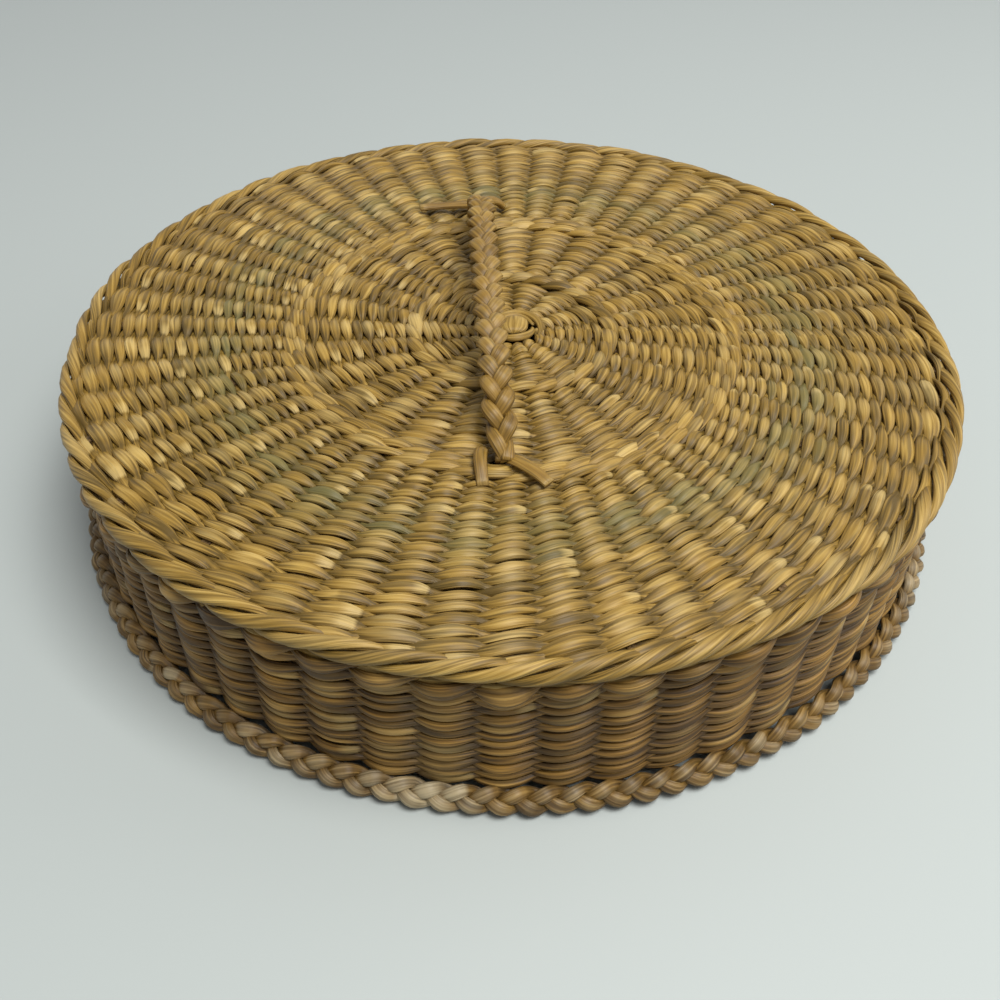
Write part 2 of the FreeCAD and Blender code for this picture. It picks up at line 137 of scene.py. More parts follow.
@dataclass(frozen=True)
class Strands:
    """Strands as swept sections: where each one runs, how wide and thick it is, and how it is coloured.

    Arrays are (strands, samples) or (strands, samples, 3). The section is an oval, its wide axis across.
    """

    middle: np.ndarray
    over: np.ndarray
    wide: np.ndarray
    thick: np.ndarray
    tone: np.ndarray
    dye: np.ndarray
    wear: np.ndarray
    closed: bool = True

    def tangents(self) -> np.ndarray:
        """The direction of each strand at each sample, from the samples on its two sides."""
        if self.closed:
            return unit(np.roll(self.middle, -1, axis=1) - np.roll(self.middle, 1, axis=1))
        return unit(np.gradient(self.middle, axis=1))

    def only(self, number: int) -> "Strands":
        """One strand of the set, as a set of its own."""
        one = slice(number, number + 1)
        parts = (self.middle, self.over, self.wide, self.thick, self.tone, self.dye, self.wear)
        return Strands(*(part[one] for part in parts), closed=self.closed)

    def mesh(self, name: str, sides: int = 8) -> bpy.types.Object:
        """Sweeps the oval sections along the strands.

        A point of the section at angle a lies at middle + across * wide * c + over * thick * sin(a), where c is
        cos(a) with its size raised to 0.85, which fills the oval out a little, and across is over crossed with
        the direction of the strand, so that faces point outwards.

        Args:
            name: the new piece's name.
            sides: points round the section.

        Returns:
            The new object, with its UV map "strand" in centimetres along and round the strand, and with the
            float attributes tone, dye and wear.
        """
        along = self.tangents()
        across = unit(np.cross(self.over, along))
        over = np.cross(along, across)
        angle = np.arange(sides) * TURN / sides
        reach = self.wide[..., None] * np.sign(np.cos(angle)) * np.abs(np.cos(angle)) ** 0.85
        lift = self.thick[..., None] * np.sin(angle)
        points = (
            self.middle[:, :, None, :]
            + across[:, :, None, :] * reach[..., None]
            + over[:, :, None, :] * lift[..., None]
        )
        count, samples = self.wide.shape
        spans = samples if self.closed else samples - 1
        strand, i, j = np.meshgrid(np.arange(count), np.arange(spans), np.arange(sides), indexing="ij")
        first = (strand * samples + i) * sides
        second = (strand * samples + (i + 1) % samples) * sides
        turned = (j + 1) % sides
        quads = np.stack([first + j, first + turned, second + turned, second + j], axis=-1).reshape(-1, 4)
        starts = np.arange(count)[:, None] * samples * sides
        rim = np.arange(sides)[None, :]
        caps = [] if self.closed else [starts + rim[:, ::-1], starts + (samples - 1) * sides + rim]
        data = mesh_from(name, points.reshape(-1, 3), quads, self.strand_map(strand, i, j, sides), caps)
        for label, values in (("tone", self.tone), ("dye", self.dye), ("wear", self.wear)):
            layer = data.attributes.new(label, "FLOAT", "POINT")
            layer.data.foreach_set("value", np.repeat(values.reshape(-1), sides).astype(np.float32))
        piece = bpy.data.objects.new(name, data)
        bpy.context.scene.collection.objects.link(piece)
        return piece

    def strand_map(self, strand: np.ndarray, i: np.ndarray, j: np.ndarray, sides: int) -> np.ndarray:
        """Works out the UV corners of each quad: centimetres along the strand and centimetres round it.

        Args:
            strand: the strand that each quad belongs to.
            i: the sample at which it starts.
            j: its place round the section.
            sides: points round the section.

        Returns:
            One row for each corner, in the order of the quads' own corners.
        """
        step = np.linalg.norm(np.diff(self.middle, axis=1, append=self.middle[:, :1]), axis=-1)
        run = np.concatenate([np.zeros((len(step), 1)), np.cumsum(step, axis=1)], axis=1) * 100
        girth = TURN * float(np.mean(self.wide + self.thick)) / 2 * 100
        own = strand * 0.37
        near, far = run[strand, i], run[strand, i + 1]
        low, high = j / sides * girth + own, (j + 1) / sides * girth + own
        corners = [np.stack(pair, -1) for pair in ((near, low), (near, high), (far, high), (far, low))]
        return np.stack(corners, axis=-2).reshape(-1, 2)


def mesh_from(
    name: str, points: np.ndarray, quads: np.ndarray, uv: np.ndarray, caps: list[np.ndarray]
) -> bpy.types.Mesh:
    """Puts whole arrays into a smooth-shaded mesh.

    Args:
        name: the mesh's name.
        points: all points, one row each.
        quads: four point numbers a row.
        uv: one row for each corner of the quads, in order.
        caps: further faces of equal size that close the ends of open strands.

    Returns:
        The finished mesh.
    """
    corners = [quads.reshape(-1)] + [cap.reshape(-1) for cap in caps]
    totals = [np.full(len(quads), 4)] + [np.full(len(cap), cap.shape[1]) for cap in caps]
    loops = np.concatenate(corners).astype(np.int32)
    total = np.concatenate(totals).astype(np.int32)
    data = bpy.data.meshes.new(name)
    data.vertices.add(len(points))
    data.vertices.foreach_set("co", points.astype(np.float32).reshape(-1))
    data.loops.add(len(loops))
    data.loops.foreach_set("vertex_index", loops)
    data.polygons.add(len(total))
    data.polygons.foreach_set("loop_start", np.concatenate([[0], np.cumsum(total)[:-1]]).astype(np.int32))
    data.polygons.foreach_set("use_smooth", np.ones(len(total), dtype=bool))
    layer = data.uv_layers.new(name="strand")
    filled = np.zeros((len(loops), 2), dtype=np.float32)
    filled[: len(uv)] = uv
    layer.data.foreach_set("uv", filled.reshape(-1))
    data.update(calc_edges=True)
    data.validate()
    return data


@dataclass(frozen=True)
class Shell:
    """The middle surface that the stakes lie in: a flat disc, a rounded corner and an upright wall.

    Distance is measured from the middle, out over the disc, round the corner and along the wall. A lid's wall
    hangs down from its disc, and a basket's wall stands up from it.
    """

    flat: float
    corner: float
    level: float
    down: bool

    def at(self, distance: np.ndarray, angle: np.ndarray) -> tuple[np.ndarray, np.ndarray, np.ndarray]:
        """Places distances and angles on the surface.

        Over the corner the way turns through a quarter circle: radius = flat + corner * sin(q) and fall =
        corner * (1 - cos(q)), with q = (distance - flat) / corner.

        Args:
            distance: metres from the middle, along the surface.
            angle: radians about the upright axis.

        Returns:
            Points, outward normals and the directions that lead towards the rim.
        """
        bend = self.corner * math.pi / 2
        q = np.clip((distance - self.flat) / self.corner, 0, math.pi / 2)
        wall = np.maximum(distance - self.flat - bend, 0)
        radius = np.minimum(distance, self.flat) + self.corner * np.sin(q)
        fall = self.corner * (1 - np.cos(q)) + wall
        side = -1.0 if self.down else 1.0
        out = ring_out(angle)
        points = out * radius[..., None] + UP * (self.level + side * fall)[..., None]
        normals = out * np.sin(q)[..., None] - UP * (side * np.cos(q))[..., None]
        rimward = out * np.cos(q)[..., None] + UP * (side * np.sin(q))[..., None]
        return points, normals, rimward

    def wall_distance(self, height: float) -> float:
        """The distance along the surface at which the wall passes a height."""
        bend = self.corner * math.pi / 2
        return self.flat + bend + abs(height - self.level) - self.corner


@dataclass(frozen=True)
class Row:
    """One row of twining: its distance from the middle, its pitch, and how it is worked."""

    distance: float
    pitch: float
    columns: int
    weave: Weave = Weave.PAIR
    front: float = 1.65 * MM
    back: float = 0.9 * MM
    thickness: float = 1.12 * MM
    fill: float = 0.535
    point: float = 0.46
    dye: float = 0.0


@dataclass(frozen=True)
class Spread:
    """How much stitches differ by chance, as standard deviations.

    Sideways and lift are metres, width and thickness are shares of the size, and the rest is added.
    """

    sideways: float = 0.22 * MM
    lift: float = 0.2 * MM
    width: float = 0.09
    thickness: float = 0.1
    tone: float = 0.085
    dye: float = 0.4
    wear: float = 0.3
    roll: float = 0.24


@dataclass(frozen=True)
class Stitches:
    """The stitches of some strands: the number of each sample's stitch, and how full the stitch is there."""

    rng: np.random.Generator
    number: np.ndarray
    total: int
    swell: np.ndarray

    def each(self, table: np.ndarray) -> np.ndarray:
        """Gives every sample its own stitch's value from a table of strands by stitches."""
        return np.take_along_axis(table, self.number, axis=1)

    def vary(self, spread: float) -> np.ndarray:
        """Draws a small difference for each stitch, full in its middle and none at its ends.

        Args:
            spread: the standard deviation of the differences.

        Returns:
            One difference for each sample.
        """
        return self.each(self.rng.normal(0, spread, (len(self.number), self.total))) * self.swell


@dataclass(frozen=True)
class Way:
    """Where the samples of some strands lie on their way in front of the stakes and behind them.

    Place counts columns round the ring and offset is the column in which a strand starts. Ahead is true in
    front of the stakes, along runs from 0 to 1 over each stitch and each dip, and share runs from 0 behind the
    stakes to 1 in front of them.
    """

    place: np.ndarray
    offset: np.ndarray
    angle: np.ndarray
    ahead: np.ndarray
    along: np.ndarray
    share: np.ndarray
    stitches: Stitches


@dataclass
class Twiner:
    """Works rows of twining into strands on a shell, each stitch a little different from the next.

    A strand's height over the middle surface is -back + (front + back) * F. Here F = 0.5 - 0.5 * cos(2 pi c / p)
    at c columns from its last dip, with p the number of strands, and a wale raises it to 0.6, which keeps the
    strand in front for longer. A strand starts each stitch on the rim's side and ends it on the middle's side:
    its sideways place is a share of the pitch times the cosine of its way along. A stitch is a lens, pointed at
    both ends: its width grows and falls with the sine of its way along.
    """

    shell: Shell
    rng: np.random.Generator
    marks: tuple[Mark, ...] = ()
    samples: int = 12
    sides: int = 8
    lag: float = 0.05
    slant: float = 0.26
    uneven: float = 1.0
    chance: Spread = Spread()
    stray: float = 0.3 * MM
    leaf_columns: float = 9.0
    tip_thickness: float = 0.72
    # How much darker the stitch tips are: painted shade in the valleys between columns.
    painted_valley_shade: float = 0.3
    frayed_share: float = 0.1
    deepest_dye: float = 0.72

    def way(self, rows: list[Row]) -> Way:
        """Follows the strands of some rows in front of the stakes and behind them.

        A strand closes after one round where the columns divide by the number of strands. Otherwise all the
        row's strands are one, which closes after as many rounds.

        Args:
            rows: rows that have the same columns and weave.

        Returns:
            The way of all the rows' strands.
        """
        columns, reach = rows[0].columns, rows[0].weave.value
        period = reach + 1
        loops, rounds = (period, 1) if columns % period == 0 else (1, period)
        shape = (len(rows) * loops, columns * self.samples * rounds)
        place = np.arange(shape[1])[None, :] / self.samples
        offset = np.tile(np.arange(loops), len(rows))[:, None]
        gone = place - offset - 0.5
        ahead = gone % period < reach
        along = np.where(ahead, gone % period / reach, gone % period - reach)
        share = 0.5 - 0.5 * np.cos(TURN * (gone % period + 0.5 - self.lag) / period)
        share = share if reach == 1 else share ** 0.6
        total = 2 * (columns * rounds // period)
        cycle = np.floor(gone / period).astype(int)
        number = np.broadcast_to((2 * cycle + np.where(ahead, 0, 1)) % total, shape)
        angle = np.broadcast_to(place * TURN / columns, shape)
        stitches = Stitches(self.rng, number, total, np.sin(np.pi * along) ** 0.8)
        return Way(place, offset, angle, ahead, along, share, stitches)

    def strands(self, rows: list[Row]) -> Strands:
        """Works out the strands of rows that have the same columns and weave.

        Args:
            rows: the rows.

        Returns:
            The strands of all the rows together.
        """
        way = self.way(rows)
        own = {
            size: np.repeat([getattr(row, size) for row in rows], len(way.offset) // len(rows))[:, None]
            for size in ("distance", "pitch", "front", "back", "thickness", "fill", "point", "dye")
        }
        vary, lens = way.stitches.vary, way.stitches.swell
        slanted = np.where(way.ahead, np.cos(np.pi * way.along), -np.cos(np.pi * way.along))
        sideways = slanted * own["pitch"] * self.slant + self.wander(own["distance"], way.angle)
        sideways = sideways + vary(self.chance.sideways * self.uneven)
        lift = -own["back"] + (own["front"] + own["back"]) * way.share
        lift = lift + vary(self.chance.lift * self.uneven)
        surface, normal, rimward = self.shell.at(own["distance"] + 0 * way.angle, way.angle)
        middle = surface + rimward * sideways[..., None] + normal * lift[..., None]
        taper = own["point"] + (1 - own["point"]) * lens
        wide = own["pitch"] * own["fill"] * taper * (1 + vary(self.chance.width * self.uneven))
        taper = self.tip_thickness + (1 - self.tip_thickness) * lens
        thick = own["thickness"] * taper * (1 + vary(self.chance.thickness * self.uneven))
        tone, dye, wear = self.colours(way, own["dye"])
        for mark in self.marks:
            wear = wear + mark.pale * mark.nearness(middle)
            middle = mark.press(middle, rimward) if mark.part else middle
        over = unit(normal + rimward * vary(self.chance.roll)[..., None])
        return Strands(middle, over, wide, thick, tone, dye, wear)

    def colours(self, way: Way, dyed: np.ndarray) -> tuple[np.ndarray, np.ndarray, np.ndarray]:
        """Draws how light, how green and how worn the rush is along the strands.

        The green comes in three patches round each ring and is half as strong on every second strand. Wear
        grows with the square of the share ahead of the stakes, and on frayed stitches from their half onwards.
        Tone falls towards each stitch's tips, as painted shade in the valleys where the strands dive behind the
        stakes.

        Args:
            way: the strands' way past the stakes.
            dyed: how strongly each strand's row is dyed.

        Returns:
            Tone, dye and wear for each sample.
        """
        vary, lens = way.stitches.vary, way.stitches.swell
        count = len(way.offset)
        # Tone falls towards each stitch's tips: painted shade where the strands dive behind the stakes.
        tone = 0.5 + self.batches(way) + vary(self.chance.tone) - self.painted_valley_shade * (1 - lens)
        patches = 0.75 + 0.3 * np.sin(3 * way.angle + self.rng.uniform(0, TURN, (count, 1)))
        second = np.where(way.offset % 2 == 0, 1.0, 0.5)
        dye = dyed * second * patches * (0.9 + vary(self.chance.dye))
        torn = self.rng.random((count, way.stitches.total)) < self.frayed_share
        frayed = way.stitches.each(torn.astype(float)) * way.ahead
        rubbed = way.share ** 2 * np.clip(0.34 + vary(self.chance.wear), 0, 1)
        wear = rubbed + 1.1 * frayed * smooth((way.along - 0.55) / 0.3)
        return tone, np.clip(dye, 0, self.deepest_dye), wear

    def wander(self, distance: np.ndarray, angle: np.ndarray) -> np.ndarray:
        """How far the rows stray sideways from true circles: slow waves that neighbouring rows share.

        Args:
            distance: metres from the middle, one for each strand.
            angle: radians about the upright axis, for each sample.

        Returns:
            Metres towards the rim.
        """
        waves = 0.0
        for count, phase, drift in ((2, 0.4, 25), (3, 2.1, 41), (5, 4.4, 18), (9, 5.6, 30)):
            waves = waves + np.sin(count * angle + phase + distance / (drift * MM))
        return waves * self.stray * self.uneven

    def batches(self, way: Way) -> np.ndarray:
        """The tone of each rush leaf in turn: a new leaf comes in once the last one is used up.

        Args:
            way: the strands' way past the stakes.

        Returns:
            The leaf's difference in tone for each sample.
        """
        start = self.rng.uniform(0, self.leaf_columns, (len(way.offset), 1))
        number = np.floor((way.place + start) / self.leaf_columns).astype(int)
        tones = self.rng.normal(0, self.chance.tone, (len(way.offset), int(number.max()) + 1))
        return np.take_along_axis(tones, number, axis=1)

    def work(self, name: str, rows: list[Row]) -> bpy.types.Object:
        """Makes one piece from rows of one kind."""
        return self.strands(rows).mesh(name, self.sides)


@dataclass(frozen=True)
class Rope:
    """A thick three-strand wale laid round the edge as a rope.

    The middle line is a ring. A strand winds about it once in three columns: it lies at facing * spread *
    cos(f) - beside * spread * sin(f), with f the phase, so one new strand comes up in each column and runs up
    and inwards. Facing leads out of the corner at the angle face, and beside is square to it.
    """

    radius: float
    height: float
    columns: int
    down: bool
    spread: float = 1.8 * MM
    wide: float = 1.9 * MM
    thick: float = 1.3 * MM
    face: float = math.radians(45)
    samples: int = 12
    chance: Spread = Spread(sideways=0.16 * MM, width=0.08, thickness=0.07, tone=0.1, wear=0.25)

    def strands(self, rng: np.random.Generator) -> Strands:
        """Works out the rope as one strand that closes after three rounds.

        Args:
            rng: source of small differences.

        Returns:
            The one long strand.
        """
        place = np.arange(self.columns * 3 * self.samples)[None, :] / self.samples
        angle = place * TURN / self.columns
        phase = TURN * place / 3
        number = np.round(place / 3).astype(int) % self.columns
        lens = np.cos((phase - TURN * np.round(place / 3)) / 2)
        vary = Stitches(rng, number, self.columns, lens).vary
        out, side = ring_out(angle), (1.0 if self.down else -1.0)
        facing = out * math.cos(self.face) + UP * (side * math.sin(self.face))
        beside = out * math.sin(self.face) - UP * (side * math.cos(self.face))
        over = facing * np.cos(phase)[..., None] - beside * np.sin(phase)[..., None]
        middle = out * self.radius + UP * self.height
        middle = middle + over * (self.spread + vary(self.chance.sideways))[..., None]
        middle = middle + facing * vary(self.chance.lift)[..., None]
        wide = self.wide * (0.55 + 0.45 * lens) * (1 + vary(self.chance.width))
        wear = 0.35 * lens ** 2 + np.clip(vary(self.chance.wear), 0, 1)
        thick = self.thick * (1 + vary(self.chance.thickness))
        # Tone falls where each strand dives under the next: painted shade between the rope's strands.
        tone = 0.5 + vary(self.chance.tone) - 0.18 * (1 - lens)
        return Strands(middle, over, wide, thick, tone, np.zeros_like(wide), wear)


@dataclass(frozen=True)
class Plait:
    """Three strands plaited flat along a line.

    At phase f a strand lies reach * sin(f) to the side and depth * sin(2f) above the line, and the three
    strands are a third of a turn apart, so each one passes over one neighbour and under the other.
    """

    reach: float
    depth: float
    wide: float
    thick: float
    roll: float = 0.3
    swing: float = 0.05
    chance: Spread = Spread(lift=0.12 * MM, width=0.07, thickness=0.06, tone=0.09, wear=0.25)

    def strands(
        self,
        line: np.ndarray,
        lateral: np.ndarray,
        normal: np.ndarray,
        turns: np.ndarray,
        rng: np.random.Generator,
        closed: bool,
        marks: tuple[Mark, ...] = (),
    ) -> Strands:
        """Works out the three strands.

        Args:
            line: the middle line, (samples, 3).
            lateral: directions across the plait's flat face.
            normal: directions out of its flat face.
            turns: phase in turns at each sample.
            rng: source of small differences.
            closed: whether the line is a ring.
            marks: places where the strands are bleached.

        Returns:
            The three strands.
        """
        phase = TURN * (turns[None, :] + np.arange(3)[:, None] / 3)
        swing, rise = np.sin(phase), np.sin(2 * phase)
        lobe = np.floor(phase / np.pi + 0.5).astype(int)
        lobe = lobe - lobe.min()
        total = int(round((turns[-1] - turns[0]) * 2)) + 1 if closed else int(lobe.max()) + 1
        vary = Stitches(rng, lobe % total, total, np.abs(swing) ** 0.5).vary
        side = lateral[None] * (self.reach * swing * (1 + vary(self.swing)))[..., None]
        lift = normal[None] * (self.depth * rise + vary(self.chance.lift))[..., None]
        middle = line[None] + side + lift
        over = unit(normal[None] + lateral[None] * (self.roll * swing)[..., None])
        wide = self.wide * (0.84 + 0.16 * rise) * (1 + vary(self.chance.width))
        thick = self.thick * (1 + vary(self.chance.thickness))
        # Tone falls where a strand passes under its neighbours: painted shade at the crossings.
        tone = 0.5 + vary(self.chance.tone) + rng.normal(0, 0.03, (3, 1)) - 0.2 * np.clip(-rise, 0, 1)
        wear = 0.4 * np.clip(rise, 0, 1) + np.clip(vary(self.chance.wear), 0, 1)
        for mark in marks:
            wear = wear + mark.pale * mark.nearness(middle)
        return Strands(middle, over, wide, thick, tone, np.zeros_like(wide), wear, closed)


@dataclass(frozen=True)
class LooseEnd:
    """A cut end of rush that lies in a smooth bend through three points, given in millimetres.

    The middle runs as (1 - t)^2 * first + 2 t (1 - t) * bend + t^2 * last, where bend is set so that the
    curve passes the second point at its half. Wide and thick are half sizes.
    """

    name: str
    node: str
    stops: tuple[Point, Point, Point]
    wide: float
    thick: float
    tone: float = 0.5
    samples: int = 17

    def strand(self) -> Strands:
        """Works out the end as an open strand, cut square and worn pale at its tip."""
        first, half, last = (np.array(stop) * MM for stop in self.stops)
        bend = 2 * half - (first + last) / 2
        t = np.linspace(0, 1, self.samples)[:, None]
        middle = ((1 - t) ** 2 * first + 2 * t * (1 - t) * bend + t ** 2 * last)[None]
        even = np.ones((1, self.samples))
        ripple = 1 + 0.06 * np.sin(5 * t.T)
        over = np.broadcast_to(UP, middle.shape)
        worn = 0.25 + 0.9 * smooth((t.T - 0.85) / 0.15)
        wide, thick, tone = self.wide * ripple, self.thick * even, self.tone * even
        return Strands(middle, over, wide, thick, tone, 0 * even, worn, closed=False)


@dataclass(frozen=True)
class Tuft:
    """The folded leaf end that closes the middle of a round: a pad with rounded ends.

    At w from -1 to 1 it lies at place + run * w, lifted by rise times its swell, and its half sizes are wide
    and thick times the swell: the root of 1 less w's size to the power of fullness. Place and run are in
    millimetres.
    """

    place: Point
    run: Point
    wide: float
    thick: float
    fullness: float
    rise: float = 0.0
    tone: float = 0.5
    wear: float = 0.3
    samples: int = 13

    def strand(self) -> Strands:
        """Works out the pad as one open strand."""
        way = np.linspace(-1, 1, self.samples)[None]
        swell = np.clip(1 - np.abs(way) ** self.fullness, 0.02, 1) ** 0.5
        middle = (np.array(self.place) + np.array(self.run) * way[..., None]) * MM
        middle = middle + UP * (self.rise * swell)[..., None]
        even = np.ones_like(way)
        over = np.broadcast_to(UP, middle.shape)
        tone, wear = self.tone * even, self.wear * even
        return Strands(middle, over, self.wide * swell, self.thick * swell, tone, 0 * even, wear, closed=False)


@dataclass(frozen=True)
class RushFinish:
    """Dry rush leaf, dampened and twined by hand: long fibre streaks, a satin face and pale rubbed crowns.

    The tones run from the leaf's shaded side to its sun-bleached side. Ribs and folds are real widths on the
    leaf in millimetres, drawn about twice as coarse as the finest ribs so that they show.
    """

    name: str
    dark: str
    middle: str
    light: str
    dyed: str = "69653c"
    rubbed: str = "d2b675"
    # Dark streaks in the leaf's folds: partly its darker fibres, partly painted shade in the creases.
    crease_shade: str = "453414"
    rib_mm: float = 0.7
    fold_mm: float = 1.3
    run_mm: float = 18.0
    roughness: float = 0.5
    wear: float = 0.55
    specular: float = 0.34
    relief: float = 0.9
    relief_mm: float = 0.5
    contrast: float = 0.34
    gloss_stretch: float = 0.65

    def add(
        self, tree: bpy.types.NodeTree, kind: str, links: dict | None = None, **settings: object
    ) -> bpy.types.Node:
        """Adds a node, sets its sockets and properties by name and links its inputs.

        Args:
            tree: the material's tree.
            kind: the node's type.
            links: input name or number to the socket that feeds it.
            settings: properties of the node, or inputs by name with spaces as underscores.

        Returns:
            The new node.
        """
        node = tree.nodes.new(kind)
        for key, value in settings.items():
            if hasattr(node, key):
                setattr(node, key, value)
            else:
                node.inputs[key.replace("_", " ")].default_value = value
        for key, socket in (links or {}).items():
            tree.links.new(socket, node.inputs[key])
        return node

    def material(self, own_map: bool = True) -> bpy.types.Material:
        """Builds the material.

        Args:
            own_map: whether the piece has the strand's own UV map and attributes. A piece of the frame has
                neither, and takes its streaks from its place in the object instead.

        Returns:
            The material, ready for any piece of this finish.
        """
        made = bpy.data.materials.new(self.name)
        made.use_nodes = True
        tree = made.node_tree
        tree.nodes.clear()
        ribs, folds = self.pattern(tree, own_map)
        lively = self.add(tree, "ShaderNodeMath", {0: ribs, 1: folds}, operation="ADD").outputs[0]
        shade = self.leaf_colour(tree, lively, folds, own_map)
        if own_map:
            shade = self.worn_colour(tree, shade, ribs)
        depth = self.relief_mm * MM
        bump = self.add(tree, "ShaderNodeBump", {"Height": lively}, Strength=self.relief, Distance=depth)
        shader = self.add(
            tree,
            "ShaderNodeBsdfPrincipled",
            {"Base Color": shade, "Normal": bump.outputs["Normal"]},
            Roughness=self.roughness,
            Specular_IOR_Level=self.specular,
        )
        if own_map:
            fibre = self.add(tree, "ShaderNodeTangent", direction_type="UV_MAP", uv_map="strand")
            tree.links.new(fibre.outputs["Tangent"], shader.inputs["Tangent"])
            shader.inputs["Anisotropic"].default_value = self.gloss_stretch
            shader.inputs["Anisotropic Rotation"].default_value = 0.25
        self.add(tree, "ShaderNodeOutputMaterial", {"Surface": shader.outputs["BSDF"]})
        return made

    def pattern(
        self, tree: bpy.types.NodeTree, own_map: bool
    ) -> tuple[bpy.types.NodeSocket, bpy.types.NodeSocket]:
        """Draws the leaf's fine ribs and its wider folds.

        On a strand they run along it, at a scale in turns for each centimetre of the strand's map. On a piece
        of the frame they are fine flecks, at a scale in turns for each metre of the object.

        Args:
            tree: the material's tree.
            own_map: whether the piece has the strand's UV map.

        Returns:
            The ribs' and the folds' sockets, both about 0 to 1.
        """
        if own_map:
            where = self.add(tree, "ShaderNodeUVMap", uv_map="strand").outputs["UV"]
            rib_scale = (10 / self.run_mm, 10 / self.rib_mm, 1.0)
            fold_scale = (10 / (1.6 * self.run_mm), 10 / self.fold_mm, 1.0)
        else:
            where = self.add(tree, "ShaderNodeTexCoord").outputs["Object"]
            rib_scale = (1 / (self.rib_mm * MM),) * 3
            fold_scale = (1 / (self.fold_mm * MM),) * 3
        return self.streaks(tree, where, rib_scale), self.streaks(tree, where, fold_scale)

    def leaf_colour(
        self,
        tree: bpy.types.NodeTree,
        lively: bpy.types.NodeSocket,
        folds: bpy.types.NodeSocket,
        own_map: bool,
    ) -> bpy.types.NodeSocket:
        """Runs from the dark tone over the middle one to the light one, with dark streaks in the deep folds:
        partly the leaf's darker fibres, partly painted shade in its creases.

        Args:
            tree: the material's tree.
            lively: ribs and folds added up.
            folds: the folds alone.
            own_map: whether the piece has an attribute for its tone. Without it the middle tone is taken.

        Returns:
            The colour's socket.
        """
        drift = self.add(
            tree,
            "ShaderNodeMapRange",
            {"Value": lively},
            From_Min=0.75,
            From_Max=1.25,
            To_Min=-self.contrast,
            To_Max=self.contrast,
        )
        place = self.add(tree, "ShaderNodeMath", {0: drift.outputs[0]}, operation="ADD")
        place.inputs[1].default_value = 0.5
        if own_map:
            tree.links.new(self.attribute(tree, "tone"), place.inputs[1])
        ramp = self.add(tree, "ShaderNodeValToRGB", {"Fac": place.outputs[0]})
        stops = ramp.color_ramp.elements
        stops[0].position, stops[0].color = 0.1, linear(self.dark)
        stops[1].position, stops[1].color = 0.9, linear(self.light)
        stops.new(0.5).color = linear(self.middle)
        # Darkens the deep folds: painted shade in the creases, with the leaf's darker fibres.
        crease_shade_share = self.add(
            tree, "ShaderNodeMapRange", {"Value": folds}, From_Min=0.54, From_Max=0.63, To_Max=0.65
        )
        return self.blended(tree, ramp.outputs["Color"], self.crease_shade, crease_shade_share.outputs[0])

    def worn_colour(
        self, tree: bpy.types.NodeTree, shade: bpy.types.NodeSocket, ribs: bpy.types.NodeSocket
    ) -> bpy.types.NodeSocket:
        """Dyes the leaf and rubs its ribs pale, as far as the strand's attributes say.

        Args:
            tree: the material's tree.
            shade: the plain leaf's colour.
            ribs: the ribs, which wear first.

        Returns:
            The colour's socket.
        """
        shade = self.blended(tree, shade, self.dyed, self.attribute(tree, "dye"))
        wear = self.attribute(tree, "wear")
        rub = self.add(tree, "ShaderNodeMath", {0: wear, 1: ribs}, operation="MULTIPLY").outputs[0]
        worn = self.add(
            tree, "ShaderNodeMapRange", {"Value": rub}, From_Min=0.14, From_Max=0.62, To_Max=self.wear
        )
        return self.blended(tree, shade, self.rubbed, worn.outputs[0])

    def attribute(self, tree: bpy.types.NodeTree, name: str) -> bpy.types.NodeSocket:
        """Reads one of the strand's attributes."""
        return self.add(tree, "ShaderNodeAttribute", attribute_name=name).outputs["Fac"]

    def blended(
        self, tree: bpy.types.NodeTree, base: bpy.types.NodeSocket, colour: str, share: bpy.types.NodeSocket
    ) -> bpy.types.NodeSocket:
        """Mixes the base colour with a plain one by a share."""
        mix = self.add(tree, "ShaderNodeMix", {"Factor": share, 6: base}, data_type="RGBA")
        mix.inputs[7].default_value = linear(colour)
        return mix.outputs[2]

    def streaks(
        self, tree: bpy.types.NodeTree, where: bpy.types.NodeSocket, scale: Point
    ) -> bpy.types.NodeSocket:
        """Draws noise that is stretched by a scale for each direction."""
        spread = self.add(tree, "ShaderNodeMapping", {"Vector": where}, Scale=scale)
        noise = self.add(tree, "ShaderNodeTexNoise", {"Vector": spread.outputs[0]}, Scale=1.0, Detail=2.0)
        return noise.outputs["Fac"]


@dataclass(frozen=True)
class Finishes:
    """The rush finishes of the warmer's parts, each matched to the part's own wear and fading, and some darkened
    as painted shade.
    """

    # Twined by hand and bleached by daylight: lively golden stitches with pale, rubbed crowns.
    top: RushFinish = RushFinish("twined_rush_top", "5a461a", "947432", "ba9950")
    # The same work kept from the sun and from hands: browner, more even and hardly rubbed, and darker than the
    # top as painted shade on the hanging wall.
    skirt: RushFinish = RushFinish("twined_rush_skirt", "432f10", "7d5c26", "b0863f", wear=0.3)
    # Plaited and scuffed by the counter: dark between the strands as painted shade, almost white where it is
    # worn.
    border: RushFinish = RushFinish(
        "plaited_rush_border", "46341a", "6e5327", "987840", rubbed="c6b794", wear=0.6
    )
    # Plaited tightly and smoothed by many hands: one warm brown with a soft sheen along the strands.
    handle: RushFinish = RushFinish(
        "plaited_rush_handle", "5b441a", "88682c", "a1803e", roughness=0.46, wear=0.3
    )
    # The hidden basket's rush, which the sun hasn't reached: fresher and yellower.
    inside: RushFinish = RushFinish("twined_rush_basket", "645023", "a08142", "c2a25a")
    # Whole split stems that the strands go round: dull brown, darker than the twined rush as painted shade, so
    # that gaps between stitches read as depth.
    stake: RushFinish = RushFinish("flat_rush_stake", "4b3a22", "6b5330", "8a6c40", wear=0.1)


